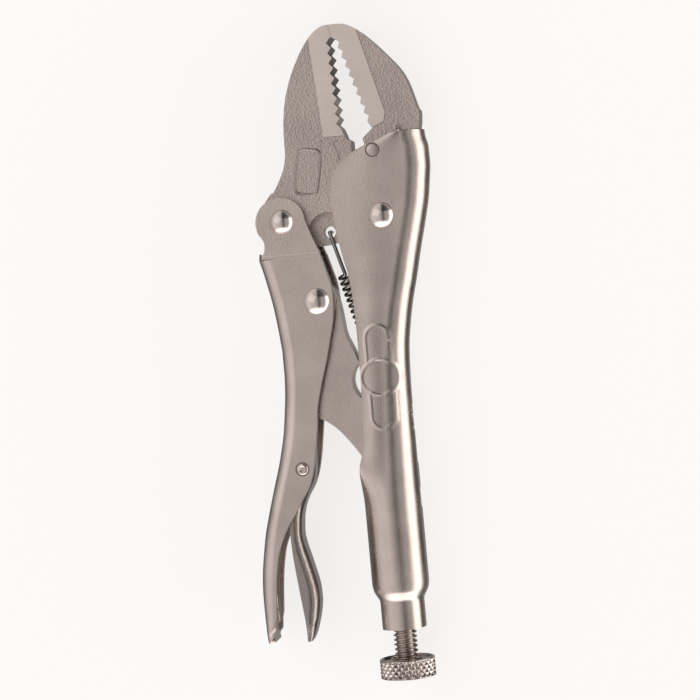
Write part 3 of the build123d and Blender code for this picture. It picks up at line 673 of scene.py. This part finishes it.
def ringed_end(name, node, half_profile, ring, cheek, hollow=0.0):
    """A small rivet or pin, with a flat ring of painted shade round both its ends for the gap; hollow is the
    radius of the painted shade in its bore.
    """
    centre = node_middle(node)
    mesh = bmesh.new()
    turned(mesh, (centre.x, centre.y), both_ends(half_profile), count=40)
    turns = [math.pi * i / 24 for i in range(49)]
    for side in (1, -1):
        rows = []
        for r in ring:
            z = side * (cheek + (ring[-1] - r) * 0.05)
            rows.append([spot(centre.x + r * math.cos(a), centre.y + r * math.sin(a), z) for a in turns])
        add_grid(mesh, rows)
    piece = finish_piece(name, mesh, material=sheet_nickel)
    # painted shade: a flat dark ring round each end stands for the gap, and a dark disc for the bore
    piece.data.materials.append(painted_shade)
    for face in piece.data.polygons:
        reach = (face.center - spot(centre.x, centre.y)).to_2d().length * 1000
        face.material_index = 1 if reach > ring[0] + 0.01 or reach < hollow else 0
    return piece


DOME_RISE = 1.58
for name, node, body, head, cheek in (
    ("jaw_pivot_dome", "jaw_pivot_rivet", "handle", 3.35, 6.76),
    ("lever_rivet_dome", "lever_rivet", "lever", 3.2, 6.76),
    ("link_rivet_dome", "link_rivet", "lever", 3.5, 7.41),
):
    centre = node_middle(node)
    mesh = bmesh.new()
    turned(mesh, (centre.x, centre.y), both_ends(dome_side(head, DOME_RISE, cheek)))
    rivet = finish_piece(name, mesh, material=rivet_bright)
    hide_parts(node)
    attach(rivet, body)

rim = [(0.45, 0.0), (0.5, 7.0), (0.62, 7.5), (0.95, 7.72), (1.3, 7.66), (1.55, 7.45), (1.6, 7.3)]
tubular = ringed_end("release_rivet_rim", "release_rivet", rim, ring=(1.58, 1.75, 1.9), cheek=7.405,
                     hollow=0.6)
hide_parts("release_rivet")
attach(tubular, "lever")

flush = [(0.001, 6.83), (1.35, 6.84), (1.5, 6.8), (1.58, 6.7)]
pin = ringed_end("fixed_jaw_pin_end", "fixed_jaw_pin", flush, ring=(1.6, 1.78, 1.95), cheek=6.755)
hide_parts("fixed_jaw_pin")
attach(pin, "handle")

# ---------------------------------------------------------------------------------------------
# Adjusting screw and knob. A rolled right-hand thread, 1.27 mm from crest to crest, with a
# diamond-knurled knob fixed on its end.
# ---------------------------------------------------------------------------------------------
screw_steel = metal("screw_steel", (0.50, 0.435, 0.40), rough=0.22, grain=0.6, bump=0.3,
                    grain_depth=0.00005, tone=0.08)
PITCH, THREAD, ROOT = 1.27, 3.175, 2.42  # crest to crest, and the radius at a crest and at the root
THREAD_SIDES, THREAD_FROM = 56, 0.8  # points round the thread, and where it begins below the screw's tip
GROOVES, GROOVE_RISE, GROOVE_DEPTH = 24, 1.9, 0.55  # grooves each way round the rim, and their size
screw_top = ((Vector(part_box("adjusting_screw")[1]) - spot(0, 0)) * 1000).y
knob_foot, knob_top = (((Vector(corner) - spot(0, 0)) * 1000).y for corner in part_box("screw_knob"))


def thread_radius(turn, height):
    phase = (height / PITCH - turn / (2 * math.pi)) % 1.0
    crest = 1 - min(max((abs(phase - 0.5) - 0.06) / 0.36, 0.0), 1.0)
    return ROOT + (THREAD - ROOT) * crest


def round_row(y, radius):
    """Points round the screw's axis at one height, at radius(turn) from it."""
    turns = [2 * math.pi * i / THREAD_SIDES for i in range(THREAD_SIDES)]
    return [spot(radius(turn) * math.sin(turn), y, radius(turn) * math.cos(turn)) for turn in turns]


screw_rows = []
for r, drop in ((0.001, 0.0), (1.7, 0.02), (2.15, 0.3), (2.4, 0.7)):
    screw_rows.append(round_row(screw_top - drop, lambda turn: r))
for y in levels((screw_top - THREAD_FROM, knob_top - 0.6, 0.09)):
    fade = ease(screw_top - THREAD_FROM - y, 0, 1.2)
    screw_rows.append(round_row(y, lambda turn: ROOT + (thread_radius(turn, y) - ROOT) * fade))
mesh = bmesh.new()
add_grid(mesh, screw_rows, loop=True)
bmesh.ops.recalc_face_normals(mesh, faces=mesh.faces)
screw = finish_piece("adjusting_screw_thread", mesh, material=screw_steel, crisp=60)
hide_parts("adjusting_screw")
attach(screw, "screw")


def knurl(turn, height, radius):
    """Crossed diagonal grooves round the knob's rim."""
    if radius < 7.0:
        return 0.0
    around = turn * GROOVES / (2 * math.pi)
    up = height / GROOVE_RISE
    off_groove = min(abs((around + up) % 1.0 - 0.5), abs((around - up) % 1.0 - 0.5)) * 2
    middle = (knob_foot + knob_top) / 2
    fade = 1 - ease(abs(height - middle), 1.9, 2.4)
    return -GROOVE_DEPTH * (1 - min(off_groove / 0.85, 1.0)) * fade


top_side = ((2.3, 0.3), (3.9, 0.3), (4.1, 0.05), (4.4, 0.35), (6.6, 0.55), (6.9, 0.1), (7.15, 0.02),
            (7.4, 0.15))
foot_side = ((7.4, 0.15), (7.1, 0.01), (6.0, 0.02), (5.6, 0.25), (0.001, 0.3))
knob_profile = [(r, knob_top - drop) for r, drop in top_side]
knob_profile += [(7.48, y) for y in levels((knob_top - 0.35, knob_foot + 0.35, 0.1))]
knob_profile += [(r, knob_foot + rise) for r, rise in foot_side]
mesh = bmesh.new()
turned(mesh, (0, 0), knob_profile, count=448, axis="Y", wave=knurl)
knob = finish_piece("screw_knob_knurled", mesh, material=screw_steel, crisp=50)
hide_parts("screw_knob")
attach(knob, "knob")

# ---------------------------------------------------------------------------------------------
# Return spring. Dark spring wire: a hook through the jaw's hole, an open coil inside the handle,
# and a hook in the handle's tongue.
# ---------------------------------------------------------------------------------------------
spring_dark = metal("spring_dark", (0.42, 0.38, 0.35), rough=0.26, grain=0.5, bump=0.2,
                    grain_depth=0.00003, tone=0.1)
HOLE, ANCHOR, WIRE = Vector((-10.2, -3.3, 0)), Vector((2.5, -50.0, 0)), 0.5
line = (ANCHOR - HOLE).normalized()
across = Vector((line.y, -line.x, 0))
up = Vector((0, 0, 1))


def wire_tube(mesh, points, radius, count=12):
    rows = []
    tangent = (points[1] - points[0]).normalized()
    out = tangent.orthogonal().normalized()
    for i, point in enumerate(points):
        ahead = points[min(i + 1, len(points) - 1)] - points[max(i - 1, 0)]
        turn = tangent.rotation_difference(ahead.normalized())
        tangent = ahead.normalized()
        out = (turn @ out).normalized()
        other = tangent.cross(out)
        rows.append([spot(*(point + (out * math.cos(a) + other * math.sin(a)) * radius))
                     for a in (2 * math.pi * k / count for k in range(count))])
    add_grid(mesh, rows, loop=True)
    for end in (rows[0], rows[-1]):
        mesh.faces.new([mesh.verts.new(p) for p in end])
    bmesh.ops.remove_doubles(mesh, verts=mesh.verts, dist=0.000001)
    bmesh.ops.recalc_face_normals(mesh, faces=mesh.faces)


COIL_START, COIL_END, COIL_RADIUS = 12.1, 40.6, 2.0
COIL_TURNS, TURN_POINTS = 18, 28
path = [HOLE + up * z for z in (-2.4, -1.2, 0.0, 1.2, 2.2)]
path += [HOLE + up * 2.55 + line * 0.5, HOLE + up * 2.6 + line * 2.5, HOLE + up * 2.55 + line * 6]
path += [HOLE + up * 2.4 + line * 9.5, HOLE + up * 2.2 + line * 11.2]
for i in range(COIL_TURNS * TURN_POINTS + 1):
    angle = 2 * math.pi * i / TURN_POINTS
    along = COIL_START + (COIL_END - COIL_START) * i / (COIL_TURNS * TURN_POINTS)
    path.append(HOLE + line * along + (up * math.cos(angle) + across * math.sin(angle)) * COIL_RADIUS)
path += [HOLE + line * 42.0 + up * 1.3 + across * 0.6, ANCHOR - line * 4.4 + up * 0.4, ANCHOR - line * 2.2]
path += [ANCHOR, ANCHOR + line * 1.2, ANCHOR + line * 1.6 + up * 0.5, ANCHOR + line * 1.6 + up * 1.5]
mesh = bmesh.new()
wire_tube(mesh, path, WIRE)
spring = finish_piece("return_spring_wire", mesh, material=spring_dark)
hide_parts("return_spring")
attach(spring, "handle")
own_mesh(spring)
